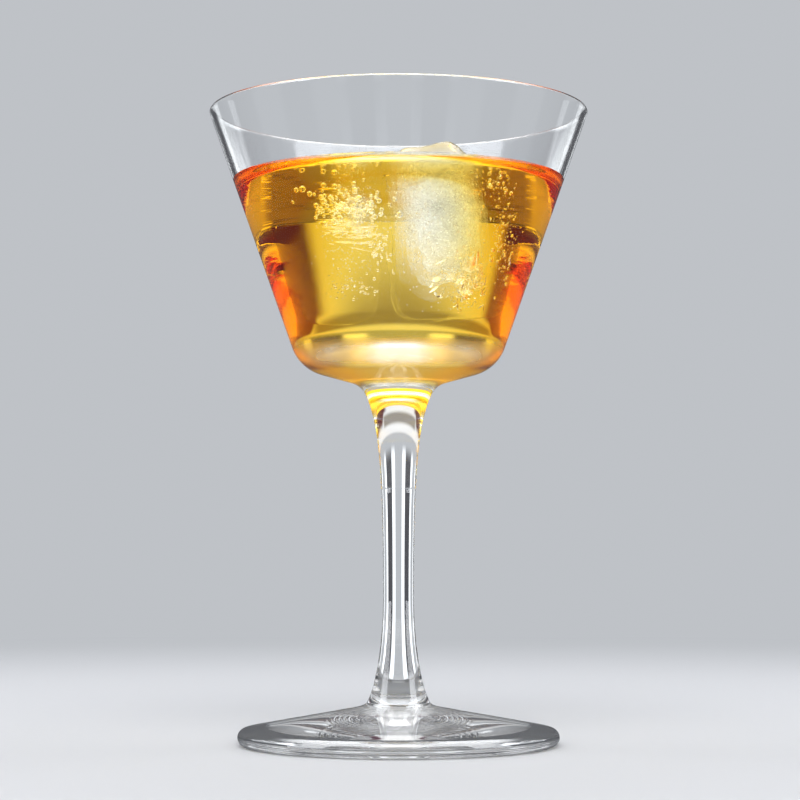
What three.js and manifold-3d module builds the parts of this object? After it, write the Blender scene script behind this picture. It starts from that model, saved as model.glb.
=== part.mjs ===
// A stemmed coupe with a straight flared bowl, holding an amber drink and two blocks of ice.
// Millimetres, +Z up. The origin is the centre of the ring that the foot rests on.
import * as THREE from 'three';
import { RoundedBoxGeometry } from 'three/addons/geometries/RoundedBoxGeometry.js';
import { mergeVertices } from 'three/addons/utils/BufferGeometryUtils.js';
import Module from 'manifold-3d';

// Foot
const FOOT_DIAMETER = 75.5;
const FOOT_EDGE_THICKNESS = 4;
const FOOT_CROWN_DIAMETER = 23; // where the cone of the foot runs into the fillet under the stem
const FOOT_CROWN_HEIGHT = 8.5;
const FOOT_FILLET_HEIGHT = 1.5;
const FOOT_RING_WIDTH = 5.5; // flat ring that the glass rests on
const FOOT_RECESS = 1.2; // hollow under the middle of the foot

// Stem, pressed with the foot below its seam and drawn with the bowl above it
const STEM_BASE_DIAMETER = 14.8;
const STEM_TAPER_LENGTH = 25; // from the foot up to the waist
const STEM_WAIST_DIAMETER = 7.3;
const STEM_SHANK_LENGTH = 25; // from the waist up to the seam
const STEM_SEAM_DIAMETER = 8.2;
const STEM_NECK_LENGTH = 22; // from the seam up to the fillet under the bowl
const STEM_NECK_DIAMETER = 15.2;
const STEM_FILLET_HEIGHT = 3.3;
const STEM_SEAT_DIAMETER = 22.6; // where the fillet runs out on the underside of the bowl

// Bowl
const RIM_DIAMETER = 90;
const BOWL_HEIGHT = 64.7; // from the top of the stem to the rim
const BOWL_BASE_DIAMETER = 47; // where the lines of the side and the underside cross
const BOWL_BASE_RISE = 3.4;
const BOWL_CORNER_RADIUS = 10;
const BOWL_INNER_CORNER_RADIUS = 10;
const BOWL_WALL = 1.1;
const BOWL_FLOOR = 8; // thick base, which shows as a clear lens under the drink

// Drink
const DRINK_BELOW_RIM = 17;
const DRINK_GAP = 0.3; // clearance to the glass and to the ice
const MENISCUS_RISE = 0.9;
const MENISCUS_WIDTH = 2.4;

// Ice, two blocks side by side in the near half of the bowl
const LARGE_ICE_WIDTH = 21;
const LARGE_ICE_DEPTH = 19;
const LARGE_ICE_HEIGHT = 39.5;
const LARGE_ICE_ABOVE_DRINK = 6.5;
const LARGE_ICE_FORWARD = 10;
const LARGE_ICE_LEAN = new THREE.Euler(0.2, -0.07, 0);
const SMALL_ICE_WIDTH = 14;
const SMALL_ICE_DEPTH = 16;
const SMALL_ICE_HEIGHT = 34.5;
const SMALL_ICE_ABOVE_DRINK = 1.2;
const SMALL_ICE_FORWARD = 8;
const SMALL_ICE_LEAN = new THREE.Euler(0.12, 0.05, 0);
const ICE_EDGE_RADIUS = 4;
const ICE_SPACING = 2.8;
const ICE_SHIFT_RIGHT = -1.8;
const ICE_TURN = -0.14;

// Handles of the stem's sweeps, as shares of the span from one end to the other
const TAPER_HANDLES = [new THREE.Vector2(0.58, 0.16), new THREE.Vector2(1, 0.56)];
const SHANK_HANDLES = [new THREE.Vector2(0, 0.32), new THREE.Vector2(0.23, 0.66)];
const NECK_HANDLES = [new THREE.Vector2(0.11, 0.41), new THREE.Vector2(0.31, 0.73)];

// Facets
const ROUND_SEGMENTS = 64;
const STEM_SEGMENTS = 40;
const CURVE_STEPS = 5;
const ICE_EDGE_STEPS = 2;

// Heights of the faces where the pieces are fused
const footTop = FOOT_CROWN_HEIGHT + FOOT_FILLET_HEIGHT;
const waistHeight = footTop + STEM_TAPER_LENGTH;
const seamHeight = waistHeight + STEM_SHANK_LENGTH;
const neckHeight = seamHeight + STEM_NECK_LENGTH;
const stemTop = neckHeight + STEM_FILLET_HEIGHT;
const rimHeight = stemTop + BOWL_HEIGHT;
const drinkLevel = rimHeight - DRINK_BELOW_RIM;

// Corners of the profiles, as (radius, height)
const stemBase = new THREE.Vector2(STEM_BASE_DIAMETER / 2, footTop);
const waist = new THREE.Vector2(STEM_WAIST_DIAMETER / 2, waistHeight);
const seam = new THREE.Vector2(STEM_SEAM_DIAMETER / 2, seamHeight);
const neck = new THREE.Vector2(STEM_NECK_DIAMETER / 2, neckHeight);
const stemSeat = new THREE.Vector2(STEM_SEAT_DIAMETER / 2, stemTop);
const bowlBase = new THREE.Vector2(BOWL_BASE_DIAMETER / 2, stemTop + BOWL_BASE_RISE);
const rimCentre = new THREE.Vector2((RIM_DIAMETER - BOWL_WALL) / 2, rimHeight - BOWL_WALL / 2);

// The bowl's side runs from its base corner and touches the round of the rim.
const baseToRim = rimCentre.clone().sub(bowlBase);
const sideAngle = baseToRim.angle() - Math.asin(BOWL_WALL / 2 / baseToRim.length());
const sideUp = new THREE.Vector2(Math.cos(sideAngle), Math.sin(sideAngle));
const sideOut = new THREE.Vector2(sideUp.y, -sideUp.x);

const wasm = await Module();
wasm.setup();

// The point at a given height on a line parallel to the bowl's side and set in from it.
function insideSide(inset, height) {
  const point = bowlBase.clone().addScaledVector(sideOut, -inset);
  return point.addScaledVector(sideUp, (height - point.y) / sideUp.y);
}

// Where two lines cross, each given by a point and a direction.
function crossing(point, direction, otherPoint, otherDirection) {
  const across = otherPoint.clone().sub(point).cross(otherDirection) / direction.cross(otherDirection);
  return point.clone().addScaledVector(direction, across);
}

// A handle of a sweep, as a point between the sweep's ends.
function handlePoint(start, end, handle) {
  return new THREE.Vector2(
    THREE.MathUtils.lerp(start.x, end.x, handle.x),
    THREE.MathUtils.lerp(start.y, end.y, handle.y),
  );
}

// A smooth sweep from the path's current point to its end.
function sweepTo(path, end, handles) {
  const [first, second] = handles.map((handle) => handlePoint(path.currentPoint, end, handle));
  path.bezierCurveTo(first.x, first.y, second.x, second.y, end.x, end.y);
}

// An arc that rounds the corner between two points, with a line up to it from the path's current point.
function roundCorner(path, before, corner, after, radius) {
  const back = before.clone().sub(corner).normalize();
  const onward = after.clone().sub(corner).normalize();
  const halfAngle = Math.acos(back.dot(onward)) / 2;
  const reach = radius / Math.tan(halfAngle);
  const middle = back.clone().add(onward).normalize();
  const centre = corner.clone().addScaledVector(middle, radius / Math.sin(halfAngle));
  const first = corner.clone().addScaledVector(back, reach);
  const last = corner.clone().addScaledVector(onward, reach);
  path.lineTo(first.x, first.y);
  path.absarc(centre.x, centre.y, radius, first.sub(centre).angle(), last.sub(centre).angle(),
    back.cross(onward) > 0);
}

// A profile turned about the vertical axis. It is walked outwards, up and back to the axis.
function revolve(profile, segments) {
  return new THREE.LatheGeometry(profile.getPoints(CURVE_STEPS), segments).rotateX(Math.PI / 2);
}

function asSolid(geometry) {
  const bare = geometry.clone();
  bare.deleteAttribute('normal');
  bare.deleteAttribute('uv');
  const merged = mergeVertices(bare);
  return new wasm.Manifold(new wasm.Mesh({
    numProp: 3,
    vertProperties: merged.attributes.position.array,
    triVerts: new Uint32Array(merged.index.array),
  }));
}

function asGeometry(solid) {
  const { vertProperties, triVerts } = solid.getMesh();
  const geometry = new THREE.BufferGeometry();
  geometry.setAttribute('position', new THREE.BufferAttribute(vertProperties, 3));
  geometry.setIndex(new THREE.BufferAttribute(triVerts, 1));
  geometry.computeVertexNormals();
  return geometry;
}

function makeFoot() {
  const edgeRadius = FOOT_EDGE_THICKNESS / 2;
  const edge = new THREE.Vector2(FOOT_DIAMETER / 2 - edgeRadius, edgeRadius);
  const crown = new THREE.Vector2(FOOT_CROWN_DIAMETER / 2, FOOT_CROWN_HEIGHT);
  const ringInner = edge.x - FOOT_RING_WIDTH;
  const crownToEdge = edge.clone().sub(crown);
  const coneAngle = crownToEdge.angle() + Math.asin(edgeRadius / crownToEdge.length());
  const coneDown = new THREE.Vector2(Math.cos(coneAngle), Math.sin(coneAngle));
  const stemDown = stemBase.clone().sub(handlePoint(stemBase, waist, TAPER_HANDLES[0]));
  const hollow = crossing(stemBase, stemDown, crown, coneDown);
  const profile = new THREE.Path();
  profile.moveTo(0, FOOT_RECESS);
  profile.quadraticCurveTo(ringInner / 2, FOOT_RECESS, ringInner, 0);
  profile.absarc(edge.x, edge.y, edgeRadius, -Math.PI / 2, coneAngle + Math.PI / 2, false);
  profile.lineTo(crown.x, crown.y);
  profile.quadraticCurveTo(hollow.x, hollow.y, stemBase.x, stemBase.y);
  profile.lineTo(0, footTop);
  return revolve(profile, ROUND_SEGMENTS);
}

function makeLowerStem() {
  const profile = new THREE.Path();
  profile.moveTo(0, footTop);
  profile.lineTo(stemBase.x, stemBase.y);
  sweepTo(profile, waist, TAPER_HANDLES);
  sweepTo(profile, seam, SHANK_HANDLES);
  profile.lineTo(0, seamHeight);
  return revolve(profile, STEM_SEGMENTS);
}

function makeUpperStem() {
  const neckUp = neck.clone().sub(handlePoint(seam, neck, NECK_HANDLES[1]));
  const undersideOut = bowlBase.clone().sub(stemSeat);
  const hollow = crossing(neck, neckUp, stemSeat, undersideOut);
  const profile = new THREE.Path();
  profile.moveTo(0, seamHeight);
  profile.lineTo(seam.x, seam.y);
  sweepTo(profile, neck, NECK_HANDLES);
  profile.quadraticCurveTo(hollow.x, hollow.y, stemSeat.x, stemSeat.y);
  profile.lineTo(0, stemTop);
  return revolve(profile, STEM_SEGMENTS);
}

// The inside of the bowl, or a skin set in from it: its floor, rounded corner and side.
function insideOfBowl(skin) {
  const floor = stemTop + BOWL_FLOOR + skin;
  return {
    axis: new THREE.Vector2(0, floor),
    corner: insideSide(BOWL_WALL + skin, floor),
    radius: BOWL_INNER_CORNER_RADIUS - skin,
  };
}

function makeBowl() {
  const inside = insideOfBowl(0);
  const innerTop = insideSide(BOWL_WALL, rimCentre.y);
  const profile = new THREE.Path();
  profile.moveTo(0, stemTop);
  profile.lineTo(stemSeat.x, stemSeat.y);
  roundCorner(profile, stemSeat, bowlBase, rimCentre, BOWL_CORNER_RADIUS);
  profile.absarc(rimCentre.x, rimCentre.y, BOWL_WALL / 2, sideOut.angle(), sideOut.angle() + Math.PI, false);
  roundCorner(profile, innerTop, inside.corner, inside.axis, inside.radius);
  profile.lineTo(inside.axis.x, inside.axis.y);
  return revolve(profile, ROUND_SEGMENTS);
}

// The drink fills the bowl up to its level, climbs a little at the glass and has a pocket for each block.
function makeDrink(pockets) {
  const inside = insideOfBowl(DRINK_GAP);
  const edge = insideSide(BOWL_WALL + DRINK_GAP, drinkLevel + MENISCUS_RISE);
  const shore = insideSide(BOWL_WALL + DRINK_GAP, drinkLevel);
  const profile = new THREE.Path();
  profile.moveTo(inside.axis.x, inside.axis.y);
  roundCorner(profile, inside.axis, inside.corner, edge, inside.radius);
  profile.lineTo(edge.x, edge.y);
  profile.quadraticCurveTo(shore.x - MENISCUS_WIDTH / 4, drinkLevel, shore.x - MENISCUS_WIDTH, drinkLevel);
  profile.lineTo(0, drinkLevel);
  const filled = asSolid(revolve(profile, ROUND_SEGMENTS));
  return asGeometry(pockets.reduce((drink, pocket) => drink.subtract(asSolid(pocket)), filled));
}

function iceGeometry(width, depth, height, skin) {
  const grown = 2 * skin;
  return new RoundedBoxGeometry(
    width + grown, depth + grown, height + grown, ICE_EDGE_STEPS, ICE_EDGE_RADIUS + skin);
}

function glassMaterial() {
  return new THREE.MeshStandardMaterial({
    color: 0xdde6ee, roughness: 0.04, metalness: 0, transparent: true, opacity: 0.35 });
}

function drinkMaterial() {
  return new THREE.MeshStandardMaterial({
    color: 0xe8920f, roughness: 0.05, metalness: 0, transparent: true, opacity: 0.7 });
}

function iceMaterial() {
  return new THREE.MeshStandardMaterial({
    color: 0xf2ead0, roughness: 0.25, metalness: 0, transparent: true, opacity: 0.6 });
}

function addPiece(parent, name, geometry, material) {
  const piece = new THREE.Mesh(geometry, material);
  piece.name = name;
  parent.add(piece);
  return piece;
}

const coupe = new THREE.Group();
addPiece(coupe, 'foot', makeFoot(), glassMaterial());
addPiece(coupe, 'lower_stem', makeLowerStem(), glassMaterial());
addPiece(coupe, 'upper_stem', makeUpperStem(), glassMaterial());
addPiece(coupe, 'bowl', makeBowl(), glassMaterial());

const ice = new THREE.Group();
ice.position.set(ICE_SHIFT_RIGHT, 0, drinkLevel);
ice.rotation.z = ICE_TURN;
coupe.add(ice);

const largeIceSize = [LARGE_ICE_WIDTH, LARGE_ICE_DEPTH, LARGE_ICE_HEIGHT];
const largeIce = addPiece(ice, 'large_ice_block', iceGeometry(...largeIceSize, 0), iceMaterial());
largeIce.position.x = (ICE_SPACING + LARGE_ICE_WIDTH) / 2;
largeIce.position.y = -LARGE_ICE_FORWARD;
largeIce.position.z = LARGE_ICE_ABOVE_DRINK - LARGE_ICE_HEIGHT / 2;
largeIce.rotation.copy(LARGE_ICE_LEAN);

const smallIceSize = [SMALL_ICE_WIDTH, SMALL_ICE_DEPTH, SMALL_ICE_HEIGHT];
const smallIce = addPiece(ice, 'small_ice_block', iceGeometry(...smallIceSize, 0), iceMaterial());
smallIce.position.x = -(ICE_SPACING + SMALL_ICE_WIDTH) / 2;
smallIce.position.y = -SMALL_ICE_FORWARD;
smallIce.position.z = SMALL_ICE_ABOVE_DRINK - SMALL_ICE_HEIGHT / 2;
smallIce.rotation.copy(SMALL_ICE_LEAN);

coupe.updateMatrixWorld(true);
const pockets = [
  iceGeometry(...largeIceSize, DRINK_GAP).applyMatrix4(largeIce.matrixWorld),
  iceGeometry(...smallIceSize, DRINK_GAP).applyMatrix4(smallIce.matrixWorld),
];
addPiece(coupe, 'drink', makeDrink(pockets), drinkMaterial());

export default coupe;
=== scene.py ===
"""A stemmed coupe with a straight flared bowl, holding an amber drink and two blocks of ice.

Laid out as an add-on: each operator makes one piece, or one group of like pieces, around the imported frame.
"""
import math
from random import Random

import bmesh
import bpy
from bpy.props import (
    FloatProperty,
    FloatVectorProperty,
    IntProperty,
    PointerProperty,
)
from mathutils import Matrix, Vector, geometry, noise


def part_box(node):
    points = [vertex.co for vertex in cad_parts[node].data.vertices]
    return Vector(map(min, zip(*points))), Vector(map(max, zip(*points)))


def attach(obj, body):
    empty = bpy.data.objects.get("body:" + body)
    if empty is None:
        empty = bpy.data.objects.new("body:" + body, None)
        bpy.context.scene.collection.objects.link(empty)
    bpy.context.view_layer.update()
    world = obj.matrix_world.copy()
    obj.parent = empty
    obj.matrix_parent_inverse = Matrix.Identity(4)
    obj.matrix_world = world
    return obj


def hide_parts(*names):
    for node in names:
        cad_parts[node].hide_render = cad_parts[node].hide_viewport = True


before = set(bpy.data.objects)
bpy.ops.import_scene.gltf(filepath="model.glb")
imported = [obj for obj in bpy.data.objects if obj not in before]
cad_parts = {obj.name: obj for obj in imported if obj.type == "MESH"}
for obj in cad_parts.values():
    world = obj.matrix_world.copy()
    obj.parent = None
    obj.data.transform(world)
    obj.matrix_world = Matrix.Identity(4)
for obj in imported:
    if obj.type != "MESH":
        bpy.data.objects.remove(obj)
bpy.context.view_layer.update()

bl_info = {
    "name": "Iced coupe glass",
    "version": (1, 0, 0),
    "blender": (4, 5, 0),
    "location": "View3D > Sidebar > Coupe",
    "description": "Builds a stemmed coupe, its amber drink and its ice around the packed frame",
    "category": "Object",
}

GLASS_BODY = "glass"
MM = 0.001
FOOT_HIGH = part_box("foot")[1]
LOWER_STEM_LOW, LOWER_STEM_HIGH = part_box("lower_stem")
UPPER_STEM_LOW, UPPER_STEM_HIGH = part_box("upper_stem")
BOWL_LOW, BOWL_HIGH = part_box("bowl")
DRINK_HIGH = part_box("drink")[1]
WHITE = (1.0, 1.0, 1.0)

# Less than any size of the glass
TINY = 1e-6

# Side of the photograph in pixels, and width of the camera's sensor in millimetres
PHOTO_PIXELS = 800
SENSOR_WIDTH = 36.0

# Handles of the stem's sweeps, as shares of the span from one end to the other
TAPER_HANDLES = ((0.58, 0.16), (1.0, 0.56))
SHANK_HANDLES = ((0.0, 0.32), (0.23, 0.66))
NECK_HANDLES = ((0.11, 0.41), (0.31, 0.73))

# Share of the foot's cone that carries rings, and the length of the seam's flanks against its depth
RINGED_CONE = 0.22
SEAM_FLANK = 4

# Finishes of the glass: its open faces, the faces fused to a neighbour, and the faces that the drink wets
CLEAR, FUSED, WET = range(3)

# Finishes of the drink: its faces against the glass, and its open surface, which an attribute marks
HELD, OPEN = range(2)
OPEN_SURFACE = "open_surface"

# Refractive indices. The ice in the drink is all but lost in its own melt.
GLASS_INDEX = 1.5
DRINK_INDEX = 1.34
ICE_INDEX = 1.31
WET_ICE_INDEX = 1.002

# Faces that light passes into the ice in the drink, more than into ice in the air, and in and out again
DEEP = 2.5
DEEPER = DEEP + 4

# More than no bounce
BOUNCED = 0.5

# Heights where the haze on the bowl's floor starts and is full, and the runs' height against the waviness
FLOOR_HAZE_LEVEL = (BOWL_LOW.z + 12 * MM, BOWL_LOW.z + 8 * MM)
RUNS_HEIGHT = 0.2

# How boxy the clear core of the drink is: upwards, in side view and in plan
CORE_RISE = 0.5
CORE_SIDE = 6
CORE_PLAN = 0.75

# Melted ice: cuts across a face, noise scale and height of each swell, and where and how much the tip slims
MELT_CUTS = 63
MELT_SWELLS = ((75, 1.1 * MM), (210, 0.4 * MM), (650, 0.08 * MM))
TIP_START = 0.3
TIP_SLIM = 0.2

# Roughness of the frosted patches on wet and on dry ice
WET_FROST = 0.1
DRY_FROST = 0.7

# Ridges on ice: spacing, sway and its noise scale, and where they start up and across a block and how fast
RIDGE_SPACING = 1.5 * MM
RIDGE_SWAY = 1.5 * MM
RIDGE_SWAY_SCALE = 160
RIDGE_LOW, RIDGE_RISE = 0.1, 3
RIDGE_LEFT, RIDGE_RUN = -0.9, 2

# Milky ice: how boxy it is, its drift from shell to shell, and noise scale and height of its swells
MILK_BOXY = 0.6
MILK_DRIFT = 0.15
MILK_SWELLS = ((1.6, 0.3), (5, 0.12))

# Tones of the milky ice and the frost
MILK_SHADOW = (0.92, 0.94, 0.97)
MILK_LIGHT = (0.99, 0.99, 1.0)
FROST_SHADOW = (0.8, 0.86, 0.92)

# Share of a block that its milky ice, its frost and its flakes of air keep within
MILK_WITHIN = 0.88
FROST_WITHIN = 0.86
FLAKES_WITHIN = 0.9

# Sizes of the specks of frost and the flakes of air, in millimetres
SPECK_LEAST, SPECK_SPAN = 0.05, 0.09
FLAKE_WIDTH = (0.4, 1.6)

# How deep the flakes lie, in shares of their block from the least to the most
FLAKES_DEEP = (-0.9, -0.3)

# Shattered flakes: middle and spread across and up the block, and their depth and height against their width
SHATTER_ACROSS = (0.45, 0.3)
SHATTER_UP = (-0.5, 0.16)
SHATTER_THIN = 0.06
SHATTER_TALL = (0.2, 0.6)

# Streaked flakes: range across the block, middle and spread up it and of their tilts, and their sizes
STREAK_ACROSS = (-0.3, 0.9)
STREAK_UP = (0.25, 0.1)
STREAK_NOD, STREAK_ROLL = (0, 0.3), (0, 0.15)
STREAK_LONG = 1.6
STREAK_THICK, STREAK_TALL = 0.2 * MM, 0.14 * MM

# Look of each block, in shares of it: skin's seed, frost, how much its milk hides, and its milky wisps
ICE_LOOKS = {
    "large_ice": {
        "seed": 3.1, "frost": ((0.15, 0.36), (-0.5, 0.25), (0.2, 0.4)), "hides": 0.85,
        "wisps": (((0.08, -0.25, 0.34), (0.88, 0.62, 0.6), 12, 5.0),
                  ((0.3, -0.35, 0.46), (0.5, 0.42, 0.46), 5, 9.0),
                  ((0.05, -0.2, -0.1), (0.85, 0.7, 0.55), 4, 14.0))},
    "small_ice": {
        "seed": 8.7, "frost": ((0.3, 0.4), (-0.2, 0.4), (0.35, 0.35)), "hides": 0.5,
        "wisps": (((0.5, -0.5, 0.55), (0.35, 0.3, 0.25), 4, 2.0),)},
}

# Swarms of bubbles: block, middle in its shares, spread in millimetres, number, and sizes against the drink's
SWARMS = (
    ("small_ice", (0.3, -1.1, 0.62), (8.5, 1.6, 5), 120, 3.0, 1.4),
    ("small_ice", (1.2, -1.1, 0.05), (3, 1.6, 6), 110, 1.0, 0.7),
    ("small_ice", (0.45, -1.1, -0.5), (5, 1.2, 3), 70, 1.0, 0.6),
    ("large_ice", (1.2, -0.3, 0.55), (4, 5, 4), 60, 1.0, 1.0),
    ("large_ice", (1.3, -0.1, -0.1), (3.4, 6, 11), 190, 1.0, 0.8),
    ("large_ice", (-0.1, -1.12, 0.3), (12, 0.8, 16), 200, 1.0, 0.5),
)

# How far the sizes of bubbles lean to the small
MOSTLY_SMALL = 2.5

# Facets round and up a speck and a bead
SPECK_FACETS = 5, 4
BEAD_FACETS = 8, 6

# Attributes of the points that carry beads and of the milky ice, and the seeds of what is scattered
STRETCH = "stretch"
TURN = "turn"
MILK = "milk"
ICE_SEED = 11
BUBBLE_SEED = 23

# Bays of light round the glass, and where in a bay's wave its panel, gap and far shade start and are full
BAYS = 8
PANEL_EDGE = (0.6, 0.35)
GAP_EDGE = (-0.3, -0.6)
SHADE_EDGE = (0.4, -0.4)

# Where each tone of the studio starts and is full, by the upward share of the view
BAYS_LEVEL = (-0.15, -0.12)
BACKDROP_LEVEL = (0.12, 0.18)
LEDGE_LEVEL = (0.215, 0.235)
VALANCE_LEVEL = (0.265, 0.3)
CANOPY_LEVEL = (0.35, 0.4)
UPPER_LEVEL = (0.64, 0.72)
ZENITH_LEVEL = (0.86, 0.9)
WING_LEVEL = (0.38, 0.438)
WING_TOP = (0.74, 0.67)
WING_DROP = 0.1
FILL_TOP = (0.3, 0.2)
OVERHEAD_LEVEL = (0.6, 0.8)

# The same by the way round from behind the glass, in radians, and for the strips from their middle
VALANCE_SIDE = (0.5, 0.62)
UPPER_SIDE = (0.7, 0.95)
WING_DROP_SIDE = (0.5, 0.65)
WING_END = (2.1, 1.9)
FILL_SIDE = (0.9, 1.2)
STRIP_SIDE = (0.32, 0.22)

# The floor's size, and where its apron of painted light starts and is full, towards the front and from the
# axis
FLOOR_RADIUS = 6.0
FLOOR_SEGMENTS = 96
APRON_GLOW_FRONT = (-0.015, -0.03)
APRON_GLOW_REACH = (0.13, 0.1)

# Softboxes: azimuth and elevation in degrees, distance, width, height and radiance
SOFTBOXES = {
    "left_softbox": (-75, 25, 0.9, 0.35, 0.9, 2.5),
    "right_softbox": (75, 25, 0.9, 0.35, 0.9, 2.5),
    "front_softbox": (180, 48, 1.0, 0.8, 0.6, 4.0),
}

# Bounces that light needs to get through the glass, the drink, the ice and the air in them
BOUNCES = {
    "max_bounces": 96,
    "diffuse_bounces": 16,
    "transmission_bounces": 96,
    "glossy_bounces": 96,
    "transparent_max_bounces": 32,
}


def length(name, value, description):
    """A size in metres that a user may change."""
    return FloatProperty(
        name=name, description=description, default=value, min=0.0, unit="LENGTH", precision=5)


def block_size(name, value, description):
    """A width, depth and height in metres that a user may change."""
    return FloatVectorProperty(
        name=name, description=description, default=value, size=3, subtype="XYZ", unit="LENGTH")


def block_lean(name, value, description):
    """A lean about X and Y and a turn about Z that a user may change."""
    return FloatVectorProperty(
        name=name, description=description, default=value, size=3, subtype="EULER", unit="ROTATION")


def angle(name, value, description):
    """An angle that a user may change, given here in degrees."""
    return FloatProperty(
        name=name, description=description, default=math.radians(value), subtype="ANGLE", unit="ROTATION")


def how_many(name, value, description, least=0):
    """A number of facets or scattered things that a user may change."""
    return IntProperty(name=name, description=description, default=value, min=least)


def colour(name, value, description):
    """A linear colour that a user may change."""
    return FloatVectorProperty(
        name=name, description=description, default=value, min=0.0, max=1.0, size=3, subtype="COLOR")


def light(name, value, description):
    """A linear tone of the studio, which may be brighter than white."""
    return FloatVectorProperty(
        name=name, description=description, default=value, min=0.0, soft_max=10.0, size=3, subtype="COLOR")


class CoupeGlassSettings(bpy.types.PropertyGroup):
    """Sizes of the glass itself, with its overall sizes taken from the frame."""

    foot_radius: length("Foot radius", FOOT_HIGH.x, "Outer radius of the foot")
    foot_edge: length("Foot edge", 4 * MM, "Thickness of the foot's rounded edge")
    foot_crown_radius: length("Crown radius", 11.5 * MM, "Where the foot's cone runs into the fillet")
    foot_crown_height: length("Crown height", 8.5 * MM, "Height at which the foot's cone ends")
    foot_ring: length("Resting ring", 5.5 * MM, "Width of the flat ring that the glass rests on")
    foot_recess: length("Recess", 1.2 * MM, "Depth of the hollow under the foot")
    ripple_length: length("Ripple length", 1.15 * MM, "Spacing of the rings that drawing the stem leaves")
    ripple_depth: length("Ripple depth", 0.035 * MM, "Depth of those rings on the foot's fillet")
    stem_base_radius: length("Stem base radius", 7.4 * MM, "Radius of the stem on the foot")
    stem_taper: length("Stem taper", 25 * MM, "Length from the foot up to the waist")
    stem_waist_radius: length("Waist radius", 3.65 * MM, "Radius at the stem's slimmest place")
    stem_seam_radius: length("Seam radius", 4.1 * MM, "Radius where the two halves of the stem are fused")
    seam_groove: length("Seam groove", 0.03 * MM, "Depth of the hairline left by the fused seam")
    stem_neck: length("Neck length", 22 * MM, "Length from the seam up to the fillet under the bowl")
    stem_neck_radius: length("Neck radius", 7.6 * MM, "Radius where the fillet under the bowl starts")
    stem_seat_radius: length("Seat radius", 11.3 * MM, "Radius where the fillet runs out under the bowl")
    rim_radius: length("Rim radius", BOWL_HIGH.x, "Outer radius of the rim")
    bowl_base_radius: length("Bowl base radius", 23.5 * MM, "Where the lines of side and underside cross")
    bowl_base_rise: length("Bowl base rise", 3.4 * MM, "Rise of the underside out to that crossing")
    bowl_corner: length("Bowl corner", 10 * MM, "Radius of the outer corner under the side")
    bowl_inner_corner: length("Inner corner", 10 * MM, "Radius of the inner corner")
    bowl_wall: length("Wall", 1.1 * MM, "Thickness of the bowl's side")
    bowl_floor: length("Floor", 8 * MM, "Thickness of the bowl's clear base")
    segments: how_many("Segments", 192, "Facets round a turned piece", least=24)
    tint: colour("Tint", (0.985, 0.995, 1.0), "Faint body colour of the glass")


class CoupeDrinkSettings(bpy.types.PropertyGroup):
    """The amber drink and the air bubbles in it."""

    meniscus_rise: length("Meniscus rise", 1.5 * MM, "Climb of the drink's edge up the glass")
    meniscus_width: length("Meniscus width", 4 * MM, "Breadth of the curved edge of the surface")
    wetting: length("Wetting", 0.04 * MM, "Depth to which the drink sits in the face of the glass")
    core_width: length("Core width", 38 * MM, "Width of the clear core that the ice and its melt leave")
    core_front: length("Core front", 1.2 * MM, "Drink between the clear core and the glass in front of it")
    core_back: length("Core back", 19 * MM, "Drink between the clear core and the glass behind it")
    core_floor: length("Core floor", 0.8 * MM, "Drink under the clear core")
    cover: length("Cover", 1.2 * MM, "Drink over the clear core")
    amber: colour("Amber", (0.987, 0.862, 0.167), "Colour that the drink lets through")
    least_bubble: length("Least bubble", 0.14 * MM, "Radius of the smallest bubbles")
    largest_bubble: length("Largest bubble", 0.6 * MM, "Radius of the largest bubbles")
    density: FloatProperty(
        name="Density", description="Strength of the amber per metre", default=120.0, min=0.0)


class CoupeIceSettings(bpy.types.PropertyGroup):
    """The two blocks of ice."""

    large_size: block_size(
        "Large block", (21 * MM, 19 * MM, 39.5 * MM), "Width, depth and height of the cloudy block")
    large_lean: block_lean(
        "Large block lean", (0.2, -0.07, -0.14), "Lean about X and Y and turn about Z of the cloudy block")
    small_size: block_size(
        "Small block", (14 * MM, 16 * MM, 34.5 * MM), "Width, depth and height of the clear block")
    small_lean: block_lean(
        "Small block lean", (0.12, 0.05, -0.14), "Lean about X and Y and turn about Z of the clear block")
    melted_edge: length("Melted edge", 4.5 * MM, "Radius of the blocks' melted edges")
    ridge: length("Ridge", 0.16 * MM, "Height of the ridges round the top of the small block")
    large_specks: how_many("Large specks", 3600, "Specks of frost in the cloudy block")
    small_specks: how_many("Small specks", 500, "Specks of frost in the clear block")
    large_cracks: how_many("Large cracks", 190, "Flakes of air in the cloudy block")
    small_cracks: how_many("Small cracks", 60, "Flakes of air in the clear block")


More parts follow.
